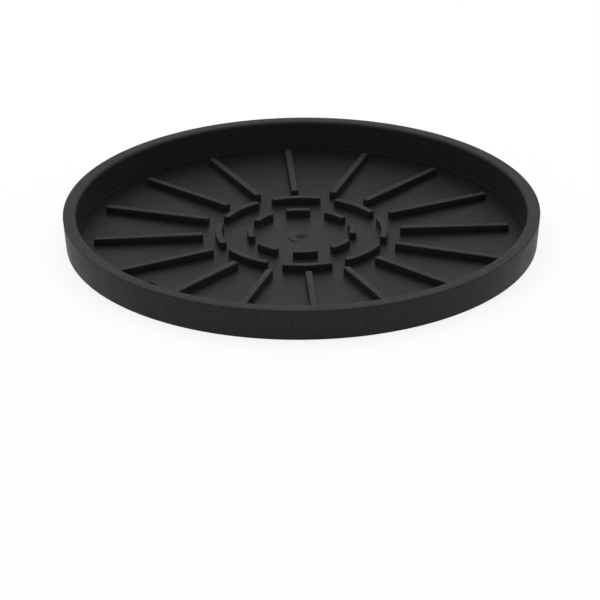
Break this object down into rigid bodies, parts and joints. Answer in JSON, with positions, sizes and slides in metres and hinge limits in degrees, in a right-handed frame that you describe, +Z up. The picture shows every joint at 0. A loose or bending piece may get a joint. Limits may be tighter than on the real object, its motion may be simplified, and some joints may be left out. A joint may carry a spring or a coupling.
{
  "type": "rubber plant coaster",
  "caption": "Round black rubber saucer for a plant pot: low wall with a flat rim, and a floor with straight radial ribs and broken rings that hold the pot off the water.",
  "frame": {"origin": "centre of the underside, on the surface that the saucer lies on", "axes": "+Z up out of the saucer along its round axis, +Y along the first rib"},
  "size_m": [0.2998, 0.2998, 0.0208],
  "materials": {
    "tray_rubber": "matt moulded",
    "rib_rubber": "matt moulded",
    "ring_rubber": "matt moulded"
  },
  "bodies": {
    "root": {"tray": "tray_rubber", "rib_01": "rib_rubber", "rib_02": "rib_rubber", "rib_03": "rib_rubber", "rib_04": "rib_rubber", "rib_05": "rib_rubber", "rib_06": "rib_rubber", "rib_07": "rib_rubber", "rib_08": "rib_rubber", "rib_09": "rib_rubber", "rib_10": "rib_rubber", "rib_11": "rib_rubber", "rib_12": "rib_rubber", "rib_13": "rib_rubber", "rib_14": "rib_rubber", "rib_15": "rib_rubber", "rib_16": "rib_rubber", "outer_ring_arc_1": "ring_rubber", "outer_ring_arc_2": "ring_rubber", "outer_ring_arc_3": "ring_rubber", "outer_ring_arc_4": "ring_rubber", "outer_ring_arc_5": "ring_rubber", "outer_ring_arc_6": "ring_rubber", "outer_ring_arc_7": "ring_rubber", "outer_ring_arc_8": "ring_rubber", "inner_ring_arc_1": "ring_rubber", "inner_ring_arc_2": "ring_rubber", "inner_ring_arc_3": "ring_rubber", "inner_ring_arc_4": "ring_rubber", "inner_ring_arc_5": "ring_rubber", "inner_ring_arc_6": "ring_rubber", "inner_ring_arc_7": "ring_rubber", "inner_ring_arc_8": "ring_rubber"}
  },
  "joints": []
}
